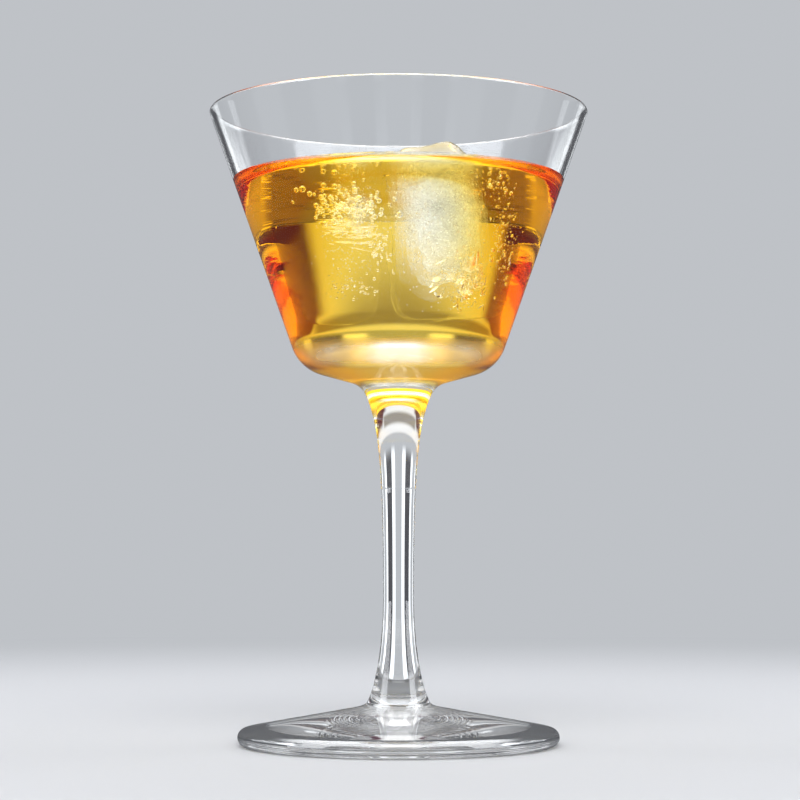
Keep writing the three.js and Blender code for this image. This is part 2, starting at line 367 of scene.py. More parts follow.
class CoupeStageSettings(bpy.types.PropertyGroup):
    """Camera, floor and studio light."""

    camera_distance: length("Camera distance", 529.4 * MM, "From the camera to the axis of the glass")
    camera_height: length("Camera height", 46.6 * MM, "Height of the camera over the floor")
    camera_aside: length("Camera aside", 0.35 * MM, "Sideways offset of the camera from the axis")
    camera_tilt: angle("Camera tilt", 3.734, "Upward tilt of the camera")
    focal_pixels: FloatProperty(
        name="Focal length", description="Focal length in pixels of the photograph", default=2238.1, min=1.0)
    backdrop: colour("Backdrop", (0.52, 0.54, 0.57), "Pale tone behind the glass")
    floor: colour("Floor", (0.60, 0.61, 0.63), "Pale tone of the floor")
    floor_near: length("Floor near", 0.2, "Where the floor starts to run out into the backdrop")
    floor_far: length("Floor far", 0.62, "Where the floor has become the backdrop")
    bays_near: length("Bays near", 0.04, "Where the floor seen through the glass starts to carry the bays")
    bays_far: length("Bays far", 0.06, "Where the floor seen through the glass carries the bays in full")
    open_near: length("Open near", 0.24, "Where the floor seen through the glass starts to fade")
    open_far: length("Open far", 0.36, "Where the floor seen through the glass is gone")
    strip_azimuth: angle("Strip azimuth", 110, "How far round from behind the glass the strips stand")
    soft: colour("Soft light", (0.34, 0.34, 0.355), "Light from all round")
    panel: light("Panel", (1.6, 1.65, 1.7), "Bright panels of the bays, seen through the glass")
    gap: light("Gap", (0.09, 0.09, 0.1), "Dark gaps between the panels, seen through the glass")
    glow: light("Glow", (0.72, 0.72, 0.73), "Tone of the far floor behind a bay, seen through the glass")
    shade: light("Shade", (0.3, 0.29, 0.29), "Tone of the far floor between bays, seen through the glass")
    ledge: light("Ledge", (1.0, 1.0, 1.0), "Bright line over the bays, seen through the glass")
    valance: light("Valance", (0.34, 0.31, 0.28), "Dim band over the ledge, seen through the glass")
    canopy: light("Canopy", (0.95, 0.95, 0.95), "Tone over the valance, seen through the glass")
    zenith: light("Zenith", (2.3, 2.3, 2.3), "Tone straight overhead, seen through the glass")
    upper: light("Upper", (0.5, 0.5, 0.5), "Tone between the canopy and the zenith, seen through the glass")
    inner: light("Inner", (2.8, 3.0, 4.0), "Light that reaches the ice through the glass")
    daylight: light("Daylight", (0.9, 0.9, 0.9), "Light that reaches the ice in the air")
    # Painted light: the glow that the floor shows close in front, only to rays through the glass
    apron_glow: light("Apron", (2.0, 2.0, 2.0), "Tone of the floor close in front, seen through the glass")
    wing: FloatVectorProperty(
        name="Wing", description="How far round from behind the glass the dark wings start and are full",
        default=(math.radians(21.5), math.radians(29)), size=2, unit="ROTATION")
    wing_shift: angle("Wing shift", 3.5, "How far the gap between the wings is turned to the left")
    wing_tone: light("Wing tone", (0.11, 0.025, 0.05), "Tone of the dark wings, seen through the glass")
    fill: light("Fill", (2.0, 2.0, 2.05), "Tone of the sides and the front in a reflection inside the drink")
    mirrored: light("Mirrored", (0.1, 0.105, 0.115), "Tone of the room in reflections")
    strip: light("Strip", (7.0, 7.2, 7.5), "Strips of light in reflections, left and right")
    overhead: light("Overhead", (9.0, 9.2, 9.5), "Light from overhead in reflections")


class Outline:
    """Profile of a turned piece in (radius, height), walked outwards, up and back to the axis.

    Its finish is the material slot of the faces that come next.
    """

    LINE_STEP = 1.2 * MM
    FINE_STEP = 0.12 * MM
    CURVE_STEPS = 28
    FINE_STEPS = 90

    def __init__(self, radius, height, finish):
        self.points = [Vector((radius, height))]
        self.finishes = []
        self.finish = finish

    @property
    def end(self):
        return self.points[-1]

    def add(self, point):
        self.points.append(Vector(point))
        self.finishes.append(self.finish)

    def line(self, radius, height, finish=None, step=LINE_STEP):
        """A straight run, with a finish of its own if one is given."""
        start, end, usual = self.end.copy(), Vector((radius, height)), self.finish
        self.finish = usual if finish is None else finish
        steps = max(1, math.ceil((end - start).length / step))
        for count in range(1, steps + 1):
            self.add(start.lerp(end, count / steps))
        self.finish = usual

    def sweep(self, end, handles):
        """A smooth sweep to end, with handles as shares of the span."""
        start, end = self.end.copy(), Vector(end)
        first, second = (handle_point(start, end, handle) for handle in handles)
        for point in geometry.interpolate_bezier(start, first, second, end, self.CURVE_STEPS + 1)[1:]:
            self.add(point)

    def bend(self, hollow, end, steps=CURVE_STEPS):
        """A curve to end that leaves towards hollow and arrives from it."""
        start, hollow, end = self.end.copy(), Vector(hollow), Vector(end)
        first = start.lerp(hollow, 2 / 3)
        second = end.lerp(hollow, 2 / 3)
        for point in geometry.interpolate_bezier(start, first, second, end, steps + 1)[1:]:
            self.add(point)

    def ripple(self, start, spacing, depth):
        """Rings across the points from start on, which die out at both ends."""
        points = self.points[start:]
        steps = [(b - a).length for a, b in zip(points, points[1:])]
        way = 0.0
        for i in range(1, len(points) - 1):
            way += steps[i - 1]
            along = (points[i + 1] - points[i - 1]).normalized()
            swell = depth * math.sin(math.tau * way / spacing) * math.sin(math.pi * way / sum(steps))
            self.points[start + i] = points[i] + Vector((along.y, -along.x)) * swell

    def arc(self, centre, radius, first, last):
        """An arc about a centre from one angle to another."""
        for step in range(1, self.CURVE_STEPS + 1):
            angle = first + (last - first) * step / self.CURVE_STEPS
            self.add((centre[0] + radius * math.cos(angle), centre[1] + radius * math.sin(angle)))

    def corner(self, before, corner, after, radius):
        """A line up to a corner between two points, and the arc that rounds it."""
        corner = Vector(corner)
        back = (Vector(before) - corner).normalized()
        onward = (Vector(after) - corner).normalized()
        half = math.acos(back.dot(onward)) / 2
        middle = (back + onward).normalized()
        centre = corner + middle * (radius / math.sin(half))
        first = corner + back * (radius / math.tan(half))
        self.line(first.x, first.y)
        from_centre = first - centre
        start = math.atan2(from_centre.y, from_centre.x)
        sweep = math.pi - 2 * half
        turn = -1 if back.x * onward.y - back.y * onward.x > 0 else 1
        self.arc(centre, radius, start, start + turn * sweep)


class BowlLines:
    """The lines that the bowl, the drink and the upper stem share."""

    def __init__(self, glass):
        self.seat = Vector((glass.stem_seat_radius, BOWL_LOW.z))
        self.base = Vector((glass.bowl_base_radius, BOWL_LOW.z + glass.bowl_base_rise))
        self.rim = Vector((glass.rim_radius - glass.bowl_wall / 2, BOWL_HIGH.z - glass.bowl_wall / 2))
        span = self.rim - self.base
        self.angle = math.atan2(span.y, span.x) - math.asin(glass.bowl_wall / 2 / span.length)
        self.up = Vector((math.cos(self.angle), math.sin(self.angle)))
        self.out = Vector((self.up.y, -self.up.x))

    def inside(self, inset, height):
        """The point at a height on a line parallel to the side and set in from it."""
        point = self.base - self.out * inset
        return point + self.up * ((height - point.y) / self.up.y)


def crossing(point, direction, other, other_direction):
    """Where two lines cross, each given by a point and a direction."""
    gap = other - point
    share = (gap.x * other_direction.y - gap.y * other_direction.x) / (
        direction.x * other_direction.y - direction.y * other_direction.x)
    return point + direction * share


def handle_point(start, end, handle):
    """The place of a sweep's handle, given in shares of the span from start to end."""
    return Vector((start.x + (end.x - start.x) * handle[0], start.y + (end.y - start.y) * handle[1]))


def turned_mesh(outline, segments):
    """A closed mesh turned about the vertical axis, with the outline's finishes as its material slots."""
    turns = [math.tau * i / segments for i in range(segments)]
    circle = [(math.cos(turn), math.sin(turn)) for turn in turns]
    mesh = bmesh.new()
    rings = []
    for point in outline.points:
        if point.x < TINY:
            rings.append([mesh.verts.new((0, 0, point.y))])
        else:
            rings.append([mesh.verts.new((point.x * x, point.x * y, point.y)) for x, y in circle])
    for low, high, finish in zip(rings, rings[1:], outline.finishes):
        for i in range(segments):
            j = (i + 1) % segments
            if len(low) == 1:
                face = mesh.faces.new((low[0], high[j], high[i]))
            elif len(high) == 1:
                face = mesh.faces.new((low[i], low[j], high[0]))
            else:
                face = mesh.faces.new((low[i], low[j], high[j], high[i]))
            face.smooth = True
            face.material_index = finish
    return mesh


def glass_piece(name, node, outline, glass):
    """A turned piece of the glass that stands for its CAD node."""
    piece = finished_piece(name, turned_mesh(outline, glass.segments), glass_materials(glass))
    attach(piece, GLASS_BODY)
    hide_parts(node)


def finished_piece(name, mesh, materials, sharp=math.radians(40)):
    """An object at the origin from a bmesh, with its materials."""
    data = bpy.data.meshes.new(name)
    mesh.to_mesh(data)
    mesh.free()
    for material in materials:
        data.materials.append(material)
    data.set_sharp_from_angle(angle=sharp)
    piece = bpy.data.objects.new(name, data)
    bpy.context.scene.collection.objects.link(piece)
    return piece


class NodeSheet:
    """Shorthand for building one node tree."""

    def __init__(self, tree):
        self.tree = tree
        tree.nodes.clear()

    def add(self, kind, inputs=None, **settings):
        """A node with its settings, and its inputs set to plain values or linked from sockets."""
        made = self.tree.nodes.new(kind)
        for key, value in settings.items():
            setattr(made, key, value)
        for key, value in (inputs or {}).items():
            if isinstance(key, int):
                socket = made.inputs[key]
            else:
                socket = next(s for s in made.inputs if s.name == key and s.enabled)
            if isinstance(value, bpy.types.NodeSocket):
                self.tree.links.new(value, socket)
            else:
                socket.default_value = value
        return made

    def math(self, operation, *values):
        return self.add("ShaderNodeMath", dict(enumerate(values)), operation=operation).outputs[0]

    def product(self, first, *others):
        for other in others:
            first = self.math("MULTIPLY", first, other)
        return first

    def above(self, value, limit):
        return self.math("GREATER_THAN", value, limit)

    def ramp(self, value, low, high, to_low=0.0, to_high=1.0):
        """A smooth step from one value to another."""
        return self.add("ShaderNodeMapRange", {
            "Value": value, "From Min": low, "From Max": high, "To Min": to_low, "To Max": to_high},
            interpolation_type="SMOOTHSTEP").outputs[0]

    def blend(self, share, first, second):
        return self.add("ShaderNodeMix", {
            "Factor": share, "A": opaque(first), "B": opaque(second)}, data_type="RGBA").outputs[2]

    def place(self, stretch=(1, 1, 1)):
        """Object coordinates, stretched."""
        spot = self.add("ShaderNodeTexCoord").outputs["Object"]
        return self.add("ShaderNodeMapping", {"Vector": spot, "Scale": stretch}).outputs[0]

    def noise(self, scale, detail=2.0, roughness=0.5, stretch=(1, 1, 1)):
        return self.add("ShaderNodeTexNoise", {
            "Vector": self.place(stretch), "Scale": scale, "Detail": detail,
            "Roughness": roughness}).outputs[0]

    def bump(self, height, strength, distance):
        return self.add("ShaderNodeBump", {
            "Height": height, "Strength": strength, "Distance": distance}).outputs[0]

    def group(self, tree, inputs):
        return self.add("ShaderNodeGroup", inputs, node_tree=tree).outputs

    def mix(self, share, first, second):
        return self.add("ShaderNodeMixShader", {0: share, 1: first.outputs[0], 2: second.outputs[0]})

    def finish(self, surface, volume=None, kind="ShaderNodeOutputMaterial"):
        output = self.add(kind)
        self.tree.links.new(surface.outputs[0], output.inputs["Surface"])
        if volume:
            self.tree.links.new(volume.outputs[0], output.inputs["Volume"])


def opaque(value):
    """A plain colour with full alpha, or the socket as it is."""
    return value if isinstance(value, bpy.types.NodeSocket) else (*value[:3], 1.0)


def new_material(name):
    material = bpy.data.materials.new(name)
    material.use_nodes = True
    return material, NodeSheet(material.node_tree)


def shader_group(name, inputs, outputs):
    """An empty shader node group with its named sockets, and the sheet to fill it on."""
    group = bpy.data.node_groups.new(name, "ShaderNodeTree")
    for way, sockets in (("INPUT", inputs), ("OUTPUT", outputs)):
        for socket, kind in sockets.items():
            group.interface.new_socket(socket, in_out=way, socket_type=f"NodeSocket{kind}")
    return group, NodeSheet(group)


def pressed_marks():
    """Node group: the smears and runs that handling leaves on glass, and the waviness of pressed glass."""
    group, sheet = shader_group(
        "pressed_marks", {"Haze": "Float", "Floor Haze": "Float"}, {"Roughness": "Float", "Height": "Float"})
    given = sheet.add("NodeGroupInput").outputs
    smears = sheet.ramp(sheet.noise(scale=70.0, detail=4.0, roughness=0.6), low=0.52, high=0.8)
    runs = sheet.ramp(sheet.noise(scale=170.0, stretch=(1, 1, 0.06)), low=0.56, high=0.74)
    marks = sheet.product(sheet.math("MAXIMUM", smears, runs), given["Haze"])
    height = sheet.add("ShaderNodeSeparateXYZ", {0: sheet.place()}).outputs["Z"]
    base = sheet.product(sheet.ramp(height, *FLOOR_HAZE_LEVEL), given["Floor Haze"])
    wave = sheet.math("MULTIPLY_ADD", runs, RUNS_HEIGHT, sheet.noise(scale=60.0, detail=1.0))
    sheet.add("NodeGroupOutput", {"Roughness": sheet.math("ADD", marks, base), "Height": wave})
    return group


def glass_material(name, glass, index, haze, floor_haze):
    """Clear glass with faint handling marks and the slight waviness of pressed glass."""
    material, sheet = new_material(name)
    group = bpy.data.node_groups.get("pressed_marks") or pressed_marks()
    marks = sheet.group(group, {"Haze": haze, "Floor Haze": floor_haze})
    sheet.finish(sheet.add("ShaderNodeBsdfPrincipled", {
        "Base Color": opaque(glass.tint), "Roughness": marks["Roughness"], "IOR": index,
        "Transmission Weight": 1.0,
        "Normal": sheet.bump(marks["Height"], strength=0.06, distance=0.2 * MM)}))
    return material


def fused_material():
    """Faces inside the fused glass, where nothing shows."""
    material, sheet = new_material("fused_seam")
    sheet.finish(sheet.add("ShaderNodeBsdfTransparent"))
    return material


def glass_materials(glass):
    """One material for each finish of the glass. The wet faces bend light only as much as drink to glass."""
    made = bpy.data.materials
    return [
        made.get("clear_glass") or glass_material(
            "clear_glass", glass, GLASS_INDEX, haze=0.06, floor_haze=0.0),
        made.get("fused_seam") or fused_material(),
        made.get("wet_glass") or glass_material(
            "wet_glass", glass, GLASS_INDEX / DRINK_INDEX, haze=0.03, floor_haze=0.35),
    ]


class COUPE_OT_foot(bpy.types.Operator):
    """Make the pressed foot"""

    bl_idname = "coupe.foot"
    bl_label = "Foot"

    def execute(self, context):
        glass = context.scene.coupe_glass
        round_edge = glass.foot_edge / 2
        edge = Vector((glass.foot_radius - round_edge, round_edge))
        crown = Vector((glass.foot_crown_radius, glass.foot_crown_height))
        stem_base = Vector((glass.stem_base_radius, FOOT_HIGH.z))
        waist = Vector((glass.stem_waist_radius, FOOT_HIGH.z + glass.stem_taper))
        ring_inner = edge.x - glass.foot_ring
        span = edge - crown
        cone = math.atan2(span.y, span.x) + math.asin(round_edge / span.length)
        cone_down = Vector((math.cos(cone), math.sin(cone)))
        stem_down = stem_base - handle_point(stem_base, waist, TAPER_HANDLES[0])
        outline = Outline(0, glass.foot_recess, CLEAR)
        outline.bend((ring_inner / 2, glass.foot_recess), (ring_inner, 0))
        outline.line(edge.x, 0)
        outline.arc(edge, round_edge, -math.pi / 2, cone + math.pi / 2)
        calm = crown.lerp(edge, RINGED_CONE)
        outline.line(calm.x, crown.y + (calm.x - crown.x) * math.tan(cone))
        rings = len(outline.points) - 1
        outline.line(*crown, step=outline.FINE_STEP)
        outline.bend(crossing(stem_base, stem_down, crown, cone_down), stem_base, outline.FINE_STEPS)
        outline.ripple(rings, glass.ripple_length, glass.ripple_depth)
        outline.line(0, FOOT_HIGH.z, finish=FUSED)
        glass_piece("coupe_foot", "foot", outline, glass)
        return {"FINISHED"}


class COUPE_OT_stem(bpy.types.Operator):
    """Make the two halves of the stem"""

    bl_idname = "coupe.stem"
    bl_label = "Stem"

    def execute(self, context):
        glass = context.scene.coupe_glass
        lines = BowlLines(glass)
        stem_base = Vector((glass.stem_base_radius, LOWER_STEM_LOW.z))
        waist = Vector((glass.stem_waist_radius, LOWER_STEM_LOW.z + glass.stem_taper))
        seam = Vector((glass.stem_seam_radius, LOWER_STEM_HIGH.z))
        neck = Vector((glass.stem_neck_radius, UPPER_STEM_LOW.z + glass.stem_neck))
        groove = glass.seam_groove
        lower = Outline(0, LOWER_STEM_LOW.z, CLEAR)
        lower.line(*stem_base, finish=FUSED)
        lower.sweep(waist, TAPER_HANDLES)
        lower.sweep((seam.x, seam.y - SEAM_FLANK * groove), SHANK_HANDLES)
        lower.line(seam.x - groove, seam.y)
        lower.line(0, LOWER_STEM_HIGH.z, finish=FUSED)
        upper = Outline(0, UPPER_STEM_LOW.z, CLEAR)
        upper.line(seam.x - groove, seam.y, finish=FUSED)
        upper.line(seam.x, seam.y + SEAM_FLANK * groove)
        upper.sweep(neck, NECK_HANDLES)
        neck_up = neck - handle_point(seam, neck, NECK_HANDLES[1])
        upper.bend(crossing(neck, neck_up, lines.seat, lines.base - lines.seat), lines.seat)
        upper.line(0, UPPER_STEM_HIGH.z, finish=FUSED)
        glass_piece("coupe_lower_stem", "lower_stem", lower, glass)
        glass_piece("coupe_upper_stem", "upper_stem", upper, glass)
        return {"FINISHED"}


class COUPE_OT_bowl(bpy.types.Operator):
    """Make the bowl with its thin rounded rim"""

    bl_idname = "coupe.bowl"
    bl_label = "Bowl"

    def execute(self, context):
        glass = context.scene.coupe_glass
        lines = BowlLines(glass)
        floor = BOWL_LOW.z + glass.bowl_floor
        out = math.atan2(lines.out.y, lines.out.x)
        outline = Outline(0, BOWL_LOW.z, CLEAR)
        outline.line(*lines.seat, finish=FUSED)
        outline.corner(lines.seat, lines.base, lines.base + lines.up, glass.bowl_corner)
        rim_start = lines.rim + lines.out * glass.bowl_wall / 2
        outline.line(*rim_start)
        outline.arc(lines.rim, glass.bowl_wall / 2, out, out + math.pi)
        outline.line(*lines.inside(glass.bowl_wall, DRINK_HIGH.z))
        outline.finish = WET
        outline.corner(
            lines.inside(glass.bowl_wall, lines.rim.y), lines.inside(glass.bowl_wall, floor), (0, floor),
            glass.bowl_inner_corner)
        outline.line(0, floor)
        glass_piece("coupe_bowl", "bowl", outline, glass)
        return {"FINISHED"}


class IcePlace:
    """Where a block of ice lies: in the middle of its node's box, leaning as the node does."""

    def __init__(self, node, size, lean):
        low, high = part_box(node)
        self.half = Vector(size) / 2
        self.centre = (low + high) / 2
        about_x, about_y, about_z = lean
        self.turn = (
            Matrix.Rotation(about_z, 3, "Z") @ Matrix.Rotation(about_x, 3, "X")
            @ Matrix.Rotation(about_y, 3, "Y"))

    def at(self, share):
        """A place in the block, each way as a share of its half size."""
        return self.centre + self.turn @ Vector(s * h for s, h in zip(share, self.half))


def ice_places(ice):
    return {
        "large_ice": IcePlace("large_ice_block", ice.large_size, ice.large_lean),
        "small_ice": IcePlace("small_ice_block", ice.small_size, ice.small_lean),
    }


def add_core(mesh, lines, glass, drink):
    """The clear core about the ice: a rounded hollow in the drink, with its faces turned inwards."""
    low = BOWL_LOW.z + glass.bowl_floor + drink.core_floor
    high = DRINK_HIGH.z - drink.meniscus_rise - drink.cover
    made = bmesh.ops.create_icosphere(mesh, subdivisions=5, radius=1.0)["verts"]
    for vert in made:
        up = math.copysign(abs(vert.co.z) ** CORE_RISE, vert.co.z)
        breadth = (1 - up ** CORE_SIDE) ** (1 / CORE_SIDE) / max(math.hypot(vert.co.x, vert.co.y), TINY)
        across, along = (math.copysign(abs(c * breadth) ** CORE_PLAN, c) for c in vert.co.xy)
        height = (low + high + up * (high - low)) / 2
        x = across * drink.core_width / 2
        wall = math.sqrt(lines.inside(glass.bowl_wall, height).x ** 2 - x ** 2)
        vert.co = x, along * (wall - (drink.core_front if along < 0 else drink.core_back)), height
    faces = list({face for vert in made for face in vert.link_faces})
    bmesh.ops.reverse_faces(mesh, faces=faces)
    for face in faces:
        face.smooth = True


def drink_material(drink):
    """Amber drink: its colour deepens with its depth, and it bends light only at its open surface."""
    material, sheet = new_material("amber_drink")
    open_surface = sheet.add("ShaderNodeAttribute", attribute_name=OPEN_SURFACE).outputs["Fac"]
    waves = sheet.product(sheet.noise(scale=130.0, detail=3.0), open_surface)
    surface = sheet.add("ShaderNodeBsdfPrincipled", {
        "Base Color": opaque(WHITE), "Roughness": 0.0, "Transmission Weight": 1.0,
        "IOR": sheet.math("MULTIPLY_ADD", open_surface, DRINK_INDEX - 1.0, 1.0),
        "Normal": sheet.bump(waves, strength=0.3, distance=0.4 * MM)})
    depth = sheet.add("ShaderNodeVolumeAbsorption", {"Color": opaque(drink.amber), "Density": drink.density})
    sheet.finish(surface, depth)
    return material


class COUPE_OT_drink(bpy.types.Operator):
    """Make the drink that fills the bowl"""

    bl_idname = "coupe.drink"
    bl_label = "Drink"

    def execute(self, context):
        glass, drink = context.scene.coupe_glass, context.scene.coupe_drink
        lines = BowlLines(glass)
        inset = glass.bowl_wall - drink.wetting
        floor = BOWL_LOW.z + glass.bowl_floor - drink.wetting
        level = DRINK_HIGH.z - drink.meniscus_rise
        shore = lines.inside(glass.bowl_wall, level)
        outline = Outline(0, floor, HELD)
        top = lines.inside(inset, DRINK_HIGH.z)
        outline.corner((0, floor), lines.inside(inset, floor), top, glass.bowl_inner_corner + drink.wetting)
        outline.line(*top)
        outline.finish = OPEN
        outline.line(*lines.inside(glass.bowl_wall, DRINK_HIGH.z))
        outline.bend((shore.x - drink.meniscus_width / 4, level), (shore.x - drink.meniscus_width, level))
        outline.line(0, level)
        mesh = turned_mesh(outline, glass.segments)
        add_core(mesh, lines, glass, drink)
        open_surface = mesh.faces.layers.float.new(OPEN_SURFACE)
        for face in mesh.faces:
            face[open_surface] = face.material_index
            face.material_index = HELD
        piece = finished_piece("amber_drink", mesh, [drink_material(drink)])
        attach(piece, GLASS_BODY)
        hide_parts("drink")
        return {"FINISHED"}


def ice_skin():
    """Node group: the patches of frost on melting ice, and the dimples that the melt leaves."""
    group, sheet = shader_group("ice_skin", {"Frost": "Float"}, {"Roughness": "Float", "Height": "Float"})
    given = sheet.add("NodeGroupInput").outputs
    patches = sheet.noise(scale=140.0, detail=5.0, roughness=0.7)
    rough = sheet.ramp(patches, low=0.4, high=0.65, to_low=0.02, to_high=given["Frost"])
    dimples = sheet.math(
        "ADD", sheet.noise(scale=420.0, detail=3.0), sheet.noise(scale=1500.0, detail=1.0))
    sheet.add("NodeGroupOutput", {"Roughness": rough, "Height": dimples})
    return group


def ice_material(name, frost, wet):
    """Melting ice: a clear skin, dimpled and frosted, which all but vanishes in the drink where it's wet."""
    material, sheet = new_material(name)
    skin = sheet.group(bpy.data.node_groups.get("ice_skin") or ice_skin(), {"Frost": frost})
    index = ICE_INDEX
    if wet:
        deep = sheet.above(sheet.add("ShaderNodeLightPath").outputs["Transmission Depth"], DEEP)
        index = sheet.math("MULTIPLY_ADD", deep, WET_ICE_INDEX - ICE_INDEX, ICE_INDEX)
    sheet.finish(sheet.add("ShaderNodeBsdfPrincipled", {
        "Base Color": opaque(WHITE), "Roughness": skin["Roughness"], "IOR": index, "Transmission Weight": 1.0,
        "Normal": sheet.bump(skin["Height"], strength=0.3, distance=0.4 * MM)}))
    return material


def milky_material():
    """Milky ice: fine trapped air that hides more in some places than in others, as its attribute says."""
    material, sheet = new_material("milky_ice")
    wisps = sheet.noise(scale=150.0, detail=6.0, roughness=0.6)
    grain = sheet.ramp(sheet.noise(scale=1400.0), low=0.25, high=0.55, to_low=0.45)
    milk = sheet.add("ShaderNodeAttribute", attribute_name=MILK).outputs["Fac"]
    sheet.finish(sheet.add("ShaderNodeBsdfPrincipled", {
        "Base Color": sheet.blend(wisps, MILK_SHADOW, MILK_LIGHT), "Roughness": 0.9,
        "Specular IOR Level": 0.0,
        "Alpha": sheet.product(sheet.ramp(wisps, low=0.32, high=0.66, to_low=0.25), grain, milk)}))
    return material


def frost_material():
    """Specks of frost: white, with a little unevenness."""
    material, sheet = new_material("frost_specks")
    sheet.finish(sheet.add("ShaderNodeBsdfPrincipled", {
        "Base Color": sheet.blend(sheet.noise(scale=900.0), FROST_SHADOW, WHITE), "Roughness": 0.4}))
    return material


def air_material():
    """Air inside the drink or the ice, which bends light outwards."""
    material, sheet = new_material("trapped_air")
    sheet.finish(sheet.add("ShaderNodeBsdfGlass", {
        "Color": opaque(WHITE), "Roughness": 0.0, "IOR": 1.0 / DRINK_INDEX,
        "Normal": sheet.bump(sheet.noise(scale=1800.0), strength=0.2, distance=0.1 * MM)}))
    return material


def within(shares, limit):
    """Shares of a block, held back from its skin."""
    return [max(-limit, min(limit, share)) for share in shares]


def melted_block(name, place, edge, seed, ridge, level, materials):
    """A block with melted edges and an uneven skin, ridged towards its top, with a dry tip over the level."""
    core = Vector(max(h - edge, 0.0) for h in place.half)
    offset = Vector((seed, 2 * seed, 3 * seed))
    mesh = bmesh.new()
    bmesh.ops.create_cube(mesh, size=2.0)
    bmesh.ops.subdivide_edges(mesh, edges=mesh.edges[:], cuts=MELT_CUTS, use_grid_fill=True)
    for vert in mesh.verts:
        spot = Vector(c * h for c, h in zip(vert.co, place.half))
        inner = Vector(max(-k, min(k, c)) for c, k in zip(spot, core))
        away = (spot - inner).normalized()
        spot = inner + away * edge
        share = spot.z / place.half.z
        slim = 1 - TIP_SLIM * (max(share - TIP_START, 0.0) / (1 - TIP_START)) ** 2
        swell = sum(noise.noise(spot * scale + offset) * height for scale, height in MELT_SWELLS)
        sway = noise.noise(spot * RIDGE_SWAY_SCALE + offset) * RIDGE_SWAY
        wave = math.sin((spot.z + sway) * math.tau / RIDGE_SPACING)
        ridged = min((share - RIDGE_LOW) * RIDGE_RISE, (spot.x / place.half.x - RIDGE_LEFT) * RIDGE_RUN)
        swell += ridge * wave * max(0.0, min(1.0, ridged))
        vert.co = place.centre + place.turn @ (Vector((spot.x * slim, spot.y * slim, spot.z)) + away * swell)
    for face in mesh.faces:
        face.smooth = True
        face.material_index = int(face.calc_center_median().z > level)
    return finished_piece(name, mesh, materials, sharp=math.pi)


def add_wisp(mesh, place, hides, middle, reach, shells, seed):
    """Nested shells of milky ice in a block, placed and sized in shares of it, which hide more inwards."""
    milk = mesh.verts.layers.float.get(MILK) or mesh.verts.layers.float.new(MILK)
    for shell in range(shells):
        size = 1 - shell / shells
        offset = Vector((seed + MILK_DRIFT * shell, 2 * seed, 3 * seed))
        for vert in bmesh.ops.create_icosphere(mesh, subdivisions=4, radius=1.0)["verts"]:
            swell = sum(height * noise.noise(vert.co * scale + offset) for scale, height in MILK_SWELLS)
            grown = size * (1 + swell)
            boxy = [math.copysign(abs(c) ** MILK_BOXY, c) for c in vert.co]
            shares = [m + c * r * grown for m, c, r in zip(middle, boxy, reach)]
            vert.co = place.at(within(shares, MILK_WITHIN))
            vert[milk] = hides * (shell + 0.5) / shells


def cloud_piece(name, place, wisps, hides, material):
    """One mesh of milky ice. A wisp is its middle, its reach, its count of shells and its seed."""
    mesh = bmesh.new()
    for wisp in wisps:
        add_wisp(mesh, place, hides, *wisp)
    for face in mesh.faces:
        face.smooth = True
    return finished_piece(name, mesh, [material], sharp=math.pi)


def bead_tree():
    """A bead on every point, stretched and turned by the point's own attributes."""
    tree = bpy.data.node_groups.new("beads", "GeometryNodeTree")
    sockets = tree.interface
    sockets.new_socket("Points", in_out="INPUT", socket_type="NodeSocketGeometry")
    for name, facets in zip(("Segments", "Rings"), BEAD_FACETS):
        sockets.new_socket(name, in_out="INPUT", socket_type="NodeSocketInt").default_value = facets
    sockets.new_socket("Size", in_out="INPUT", socket_type="NodeSocketFloat").default_value = 1.0
    sockets.new_socket("Material", in_out="INPUT", socket_type="NodeSocketMaterial")
    sockets.new_socket("Beads", in_out="OUTPUT", socket_type="NodeSocketGeometry")
    sheet = NodeSheet(tree)
    given = sheet.add("NodeGroupInput").outputs
    bead = sheet.add("GeometryNodeMeshUVSphere", {
        "Radius": given["Size"], "Segments": given["Segments"], "Rings": given["Rings"]})
    turn = sheet.add("GeometryNodeInputNamedAttribute", {"Name": TURN}, data_type="FLOAT_VECTOR")
    stretch = sheet.add("GeometryNodeInputNamedAttribute", {"Name": STRETCH}, data_type="FLOAT_VECTOR")
    placed = sheet.add("GeometryNodeInstanceOnPoints", {
        "Points": given["Points"], "Instance": bead.outputs["Mesh"], "Rotation": turn.outputs[0],
        "Scale": stretch.outputs[0]})
    solid = sheet.add("GeometryNodeRealizeInstances", {"Geometry": placed.outputs[0]})
    smooth = sheet.add("GeometryNodeSetShadeSmooth", {"Geometry": solid.outputs[0]})
    coated = sheet.add("GeometryNodeSetMaterial", {
        "Geometry": smooth.outputs[0], "Material": given["Material"]})
    sheet.add("NodeGroupOutput", {"Beads": coated.outputs[0]})
    return tree


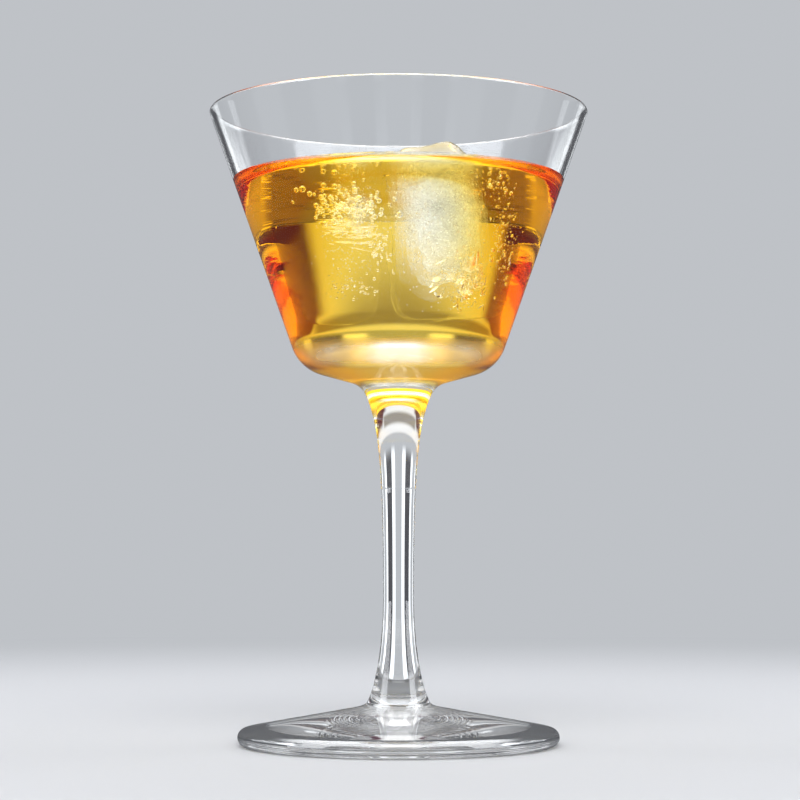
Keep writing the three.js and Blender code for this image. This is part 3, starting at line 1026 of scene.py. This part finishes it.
def beads_piece(name, beads, facets, material):
    """One plain mesh of beads. A bead is its place, its stretch each way and its turn."""
    data = bpy.data.meshes.new(name)
    data.from_pydata([place for place, stretch, turn in beads], [], [])
    for attribute, column in ((STRETCH, 1), (TURN, 2)):
        values = [part for bead in beads for part in bead[column]]
        data.attributes.new(attribute, "FLOAT_VECTOR", "POINT").data.foreach_set("vector", values)
    host = bpy.data.objects.new(f"{name}_points", data)
    bpy.context.scene.collection.objects.link(host)
    tree = bpy.data.node_groups.get("beads") or bead_tree()
    modifier = host.modifiers.new("beads", "NODES")
    modifier.node_group = tree
    keys = {item.name: item.identifier for item in tree.interface.items_tree if item.in_out == "INPUT"}
    modifier[keys["Segments"]], modifier[keys["Rings"]] = facets
    modifier[keys["Size"]] = 1.0
    modifier[keys["Material"]] = material
    seen = host.evaluated_get(bpy.context.evaluated_depsgraph_get())
    mesh = bpy.data.meshes.new_from_object(seen)
    host.modifiers.remove(modifier)
    bpy.data.objects.remove(host)
    mesh.name = name
    piece = bpy.data.objects.new(name, mesh)
    bpy.context.scene.collection.objects.link(piece)
    return piece


def round_bead(place, radius):
    return place, (radius, radius, radius), (0.0, 0.0, 0.0)


def swarm(chance, middle, spread, count, smallest, largest):
    """Round beads gathered about a middle, most of them small."""
    beads = []
    for _ in range(count):
        place = Vector(chance.gauss(m, s / 2) for m, s in zip(middle, spread))
        beads.append(round_bead(place, smallest + (largest - smallest) * chance.random() ** MOSTLY_SMALL))
    return beads


def frost_specks(chance, place, spread, count):
    """Specks of frost gathered about a middle of the block, most of them small."""
    specks = []
    for _ in range(count):
        shares = within([chance.gauss(middle, reach) for middle, reach in spread], FROST_WITHIN)
        specks.append(round_bead(place.at(shares), (SPECK_LEAST + SPECK_SPAN * chance.random() ** 2) * MM))
    return specks


def shattered_flakes(chance, place, count):
    """Flakes of air that lie every way, low in the front of the cloudy block."""
    flakes = []
    for _ in range(count):
        shares = chance.gauss(*SHATTER_ACROSS), chance.uniform(*FLAKES_DEEP), chance.gauss(*SHATTER_UP)
        width = chance.uniform(*FLAKE_WIDTH) * MM
        turn = [chance.uniform(0, math.tau) for _ in range(3)]
        stretch = width, SHATTER_THIN * width, width * chance.uniform(*SHATTER_TALL)
        flakes.append((place.at(within(shares, FLAKES_WITHIN)), stretch, turn))
    return flakes


def streaked_flakes(chance, place, count):
    """Flakes of air drawn out sideways across the front of the clear block."""
    flakes = []
    for _ in range(count):
        shares = chance.uniform(*STREAK_ACROSS), chance.uniform(*FLAKES_DEEP), chance.gauss(*STREAK_UP)
        width = chance.uniform(*FLAKE_WIDTH) * MM
        turn = chance.gauss(*STREAK_NOD), chance.gauss(*STREAK_ROLL), 0.0
        stretch = STREAK_LONG * width, STREAK_THICK, STREAK_TALL
        flakes.append((place.at(within(shares, FLAKES_WITHIN)), stretch, turn))
    return flakes


class COUPE_OT_ice(bpy.types.Operator):
    """Make the two blocks of ice, with the milky ice, frost and cracks inside them"""

    bl_idname = "coupe.ice"
    bl_label = "Ice"

    def execute(self, context):
        ice = context.scene.coupe_ice
        chance = Random(ICE_SEED)
        level = DRINK_HIGH.z - context.scene.coupe_drink.meniscus_rise
        skins = [
            ice_material("wet_ice", WET_FROST, wet=True), ice_material("dry_ice_tip", DRY_FROST, wet=False)]
        milk, frost, air = milky_material(), frost_material(), air_material()
        places = ice_places(ice)
        for body, ridge, speck_count, scatter, crack_count in (
                ("large_ice", 0.0, ice.large_specks, shattered_flakes, ice.large_cracks),
                ("small_ice", ice.ridge, ice.small_specks, streaked_flakes, ice.small_cracks)):
            place, look = places[body], ICE_LOOKS[body]
            block = melted_block(
                f"{body}_melted", place, ice.melted_edge, look["seed"], ridge, level, skins)
            specks = frost_specks(chance, place, look["frost"], speck_count)
            cracks = scatter(chance, place, crack_count)
            pieces = (
                block,
                cloud_piece(f"{body}_cloud", place, look["wisps"], look["hides"], milk),
                beads_piece(f"{body}_frost", specks, SPECK_FACETS, frost),
                beads_piece(f"{body}_cracks", cracks, BEAD_FACETS, air))
            for piece in pieces:
                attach(piece, body)
                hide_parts(f"{body}_block")
        return {"FINISHED"}


class COUPE_OT_bubbles(bpy.types.Operator):
    """Make the air bubbles that hang in the drink about the ice"""

    bl_idname = "coupe.bubbles"
    bl_label = "Bubbles"

    def execute(self, context):
        drink = context.scene.coupe_drink
        chance = Random(BUBBLE_SEED)
        places = ice_places(context.scene.coupe_ice)
        beads = []
        for body, middle, spread, number, smallest, largest in SWARMS:
            beads += swarm(
                chance, places[body].at(middle), [s * MM for s in spread], number,
                smallest * drink.least_bubble, largest * drink.largest_bubble)
        level = DRINK_HIGH.z - drink.meniscus_rise
        beads = [bead for bead in beads if bead[0].z + bead[1][0] < level]
        air = bpy.data.materials.get("trapped_air") or air_material()
        piece = beads_piece("drink_bubbles", beads, BEAD_FACETS, air)
        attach(piece, GLASS_BODY)
        return {"FINISHED"}


def studio_bays(stage):
    """Node group: the bright panels and dark gaps of the bays round the glass, and their far shade."""
    group, sheet = shader_group("studio_bays", {"Way": "Vector"}, {"Tone": "Color", "Shade": "Color"})
    given = sheet.add("NodeGroupInput").outputs
    way = sheet.add("ShaderNodeSeparateXYZ", {0: given["Way"]}).outputs
    bay = sheet.math("COSINE", sheet.product(sheet.math("ARCTAN2", way["X"], way["Y"]), float(BAYS)))
    tone = sheet.blend(sheet.ramp(bay, *PANEL_EDGE), stage.backdrop, stage.panel)
    tone = sheet.blend(sheet.ramp(bay, *GAP_EDGE), tone, stage.gap)
    shade = sheet.blend(sheet.ramp(bay, *SHADE_EDGE), stage.glow, stage.shade)
    sheet.add("NodeGroupOutput", {"Tone": tone, "Shade": shade})
    return group


def turned_inside(sheet, path, bounces, faces):
    """Whether light has bounced in one way after it passed more than some faces."""
    return sheet.product(sheet.above(path[bounces], BOUNCED), sheet.above(path["Transmission Depth"], faces))


def stage_floor(stage, bays):
    """A pale floor that runs out into the backdrop. Seen through the glass, it carries on the bays as painted
    light.
    """
    material, sheet = new_material("stage_floor")
    spot = sheet.place()
    reach = sheet.add("ShaderNodeVectorMath", {0: spot}, operation="LENGTH").outputs["Value"]
    path = sheet.add("ShaderNodeLightPath").outputs
    passed = path["Is Transmission Ray"]
    glint = sheet.product(path["Is Glossy Ray"], path["Is Reflection Ray"])
    along = sheet.add("ShaderNodeSeparateXYZ", {0: spot}).outputs["Y"]
    # Painted light: a bright apron that the floor shows close in front, only to rays through the glass
    apron_glow = sheet.product(sheet.ramp(along, *APRON_GLOW_FRONT), sheet.ramp(reach, *APRON_GLOW_REACH))
    through = sheet.blend(apron_glow, sheet.group(bays, {"Way": spot})["Tone"], stage.apron_glow)
    # Painted light: the fill that the floor shows after a reflection or a bounce inside the drink
    for bounces, faces in (("Glossy Depth", DEEP), ("Diffuse Depth", DEEPER)):
        through = sheet.blend(turned_inside(sheet, path, bounces, faces), through, stage.fill)
    surface = sheet.add("ShaderNodeBsdfPrincipled", {
        "Base Color": opaque(stage.floor), "Roughness": 0.7, "Specular IOR Level": 0.2})
    # Painted light: the glow above through the glass, and the room's painted dark tone in reflections
    for share, tone in (
            (sheet.ramp(reach, stage.floor_near, stage.floor_far), stage.backdrop),
            (sheet.product(passed, sheet.ramp(reach, stage.bays_near, stage.bays_far)), through),
            (glint, stage.mirrored)):
        surface = sheet.mix(share, surface, sheet.add("ShaderNodeEmission", {"Color": opaque(tone)}))
    gone = sheet.product(passed, sheet.ramp(reach, stage.open_near, stage.open_far))
    sheet.finish(sheet.mix(gone, surface, sheet.add("ShaderNodeBsdfTransparent")))
    mesh = bmesh.new()
    bmesh.ops.create_circle(mesh, cap_ends=True, radius=FLOOR_RADIUS, segments=FLOOR_SEGMENTS)
    finished_piece("stage_floor", mesh, [material])


def stage_lamp(name, azimuth, elevation, distance, width, height, radiance):
    """A softbox that faces the bowl. Azimuth 0 is behind the glass, and 90 is to its right."""
    softbox = bpy.data.lights.new(name, "AREA")
    softbox.shape = "RECTANGLE"
    softbox.size = width
    softbox.size_y = height
    softbox.energy = radiance * math.pi * width * height
    lamp = bpy.data.objects.new(name, softbox)
    across, up = math.radians(azimuth), math.radians(elevation)
    away = Vector((math.sin(across) * math.cos(up), math.cos(across) * math.cos(up), math.sin(up)))
    target = Vector((0, 0, BOWL_LOW.z))
    lamp.location = target + away * distance
    lamp.rotation_euler = (-away).to_track_quat("-Z", "Y").to_euler()
    lamp.visible_camera = lamp.visible_glossy = lamp.visible_transmission = False
    bpy.context.scene.collection.objects.link(lamp)


def stage_world(stage, bays):
    """Soft light from all round: the bays low behind the glass, a canopy over them and dark wings between."""
    world = bpy.data.worlds.new("studio")
    bpy.context.scene.world = world
    world.use_nodes = True
    sheet = NodeSheet(world.node_tree)
    direction = sheet.add("ShaderNodeTexCoord").outputs["Generated"]
    way = sheet.add("ShaderNodeSeparateXYZ", {0: direction}).outputs
    path = sheet.add("ShaderNodeLightPath").outputs
    turn = sheet.math("ARCTAN2", way["X"], way["Y"])
    azimuth = sheet.math("ABSOLUTE", turn)
    aside = sheet.math("ABSOLUTE", sheet.math("ADD", turn, stage.wing_shift))
    low = sheet.group(bays, {"Way": direction})
    valance = sheet.blend(sheet.ramp(aside, *VALANCE_SIDE), stage.valance, stage.canopy)
    upper = sheet.blend(sheet.ramp(azimuth, *UPPER_SIDE), stage.upper, stage.canopy)
    through = low["Shade"]
    for level, tone in (
            (BAYS_LEVEL, low["Tone"]), (BACKDROP_LEVEL, stage.backdrop), (LEDGE_LEVEL, stage.ledge),
            (VALANCE_LEVEL, valance), (CANOPY_LEVEL, stage.canopy), (UPPER_LEVEL, upper),
            (ZENITH_LEVEL, stage.zenith)):
        through = sheet.blend(sheet.ramp(way["Z"], *level), through, tone)
    dropped = sheet.math("MULTIPLY_ADD", sheet.ramp(aside, *WING_DROP_SIDE), WING_DROP, way["Z"])
    wing = sheet.product(
        sheet.ramp(aside, *stage.wing), sheet.ramp(azimuth, *WING_END), sheet.ramp(dropped, *WING_LEVEL),
        sheet.ramp(way["Z"], *WING_TOP))
    through = sheet.blend(wing, through, stage.wing_tone)
    turned = sheet.product(
        turned_inside(sheet, path, "Glossy Depth", DEEP), sheet.ramp(azimuth, *FILL_SIDE),
        sheet.ramp(way["Z"], *FILL_TOP))
    through = sheet.blend(turned, through, stage.fill)
    strip = sheet.math("ABSOLUTE", sheet.math("SUBTRACT", azimuth, stage.strip_azimuth))
    mirrored = sheet.blend(sheet.ramp(strip, *STRIP_SIDE), stage.mirrored, stage.strip)
    mirrored = sheet.blend(sheet.ramp(way["Z"], *OVERHEAD_LEVEL), mirrored, stage.overhead)
    glint = sheet.product(path["Is Glossy Ray"], path["Is Reflection Ray"])
    deeper = sheet.above(path["Transmission Depth"], DEEPER)
    through = sheet.blend(sheet.above(path["Diffuse Depth"], BOUNCED), through, sheet.blend(
        deeper, stage.daylight, stage.inner))
    seen = sheet.blend(path["Is Transmission Ray"], stage.soft, through)
    seen = sheet.blend(glint, seen, mirrored)
    seen = sheet.blend(path["Is Camera Ray"], seen, stage.backdrop)
    sheet.finish(sheet.add("ShaderNodeBackground", {"Color": seen}), kind="ShaderNodeOutputWorld")


class COUPE_OT_stage(bpy.types.Operator):
    """Set up the camera, the floor and the studio light"""

    bl_idname = "coupe.stage"
    bl_label = "Stage"

    def execute(self, context):
        scene, stage = context.scene, context.scene.coupe_stage
        view = bpy.data.cameras.new("camera")
        view.sensor_width = SENSOR_WIDTH
        view.lens = view.sensor_width * stage.focal_pixels / PHOTO_PIXELS
        camera = bpy.data.objects.new("camera", view)
        camera.location = (stage.camera_aside, -stage.camera_distance, stage.camera_height)
        camera.rotation_euler = (math.pi / 2 + stage.camera_tilt, 0, 0)
        scene.collection.objects.link(camera)
        scene.camera = camera
        scene.view_settings.view_transform = "Standard"
        for kind, number in BOUNCES.items():
            setattr(scene.cycles, kind, number)
        bays = studio_bays(stage)
        stage_floor(stage, bays)
        stage_world(stage, bays)
        for name, softbox in SOFTBOXES.items():
            stage_lamp(name, *softbox)
        return {"FINISHED"}


class COUPE_PT_sidebar(bpy.types.Panel):
    """The coupe's operators and settings"""

    bl_idname = "COUPE_PT_sidebar"
    bl_label = "Iced coupe glass"
    bl_space_type = "VIEW_3D"
    bl_region_type = "UI"
    bl_category = "Coupe"

    def draw(self, context):
        for operator in OPERATORS:
            self.layout.operator(operator.bl_idname)
        for name, settings in SETTINGS.items():
            group = self.layout.box()
            for setting in settings.__annotations__:
                group.prop(getattr(context.scene, name), setting)


OPERATORS = (COUPE_OT_stage, COUPE_OT_foot, COUPE_OT_stem, COUPE_OT_bowl, COUPE_OT_drink, COUPE_OT_ice,
             COUPE_OT_bubbles)
SETTINGS = {
    "coupe_glass": CoupeGlassSettings,
    "coupe_drink": CoupeDrinkSettings,
    "coupe_ice": CoupeIceSettings,
    "coupe_stage": CoupeStageSettings,
}
CLASSES = (*SETTINGS.values(), *OPERATORS, COUPE_PT_sidebar)


def register():
    for made in CLASSES:
        bpy.utils.register_class(made)
    for name, settings in SETTINGS.items():
        setattr(bpy.types.Scene, name, PointerProperty(type=settings))


def unregister():
    for name in SETTINGS:
        delattr(bpy.types.Scene, name)
    for made in reversed(CLASSES):
        bpy.utils.unregister_class(made)


def main():
    register()
    for operator in OPERATORS:
        section, action = operator.bl_idname.split(".")
        getattr(getattr(bpy.ops, section), action)()


if __name__ == "__main__":
    main()
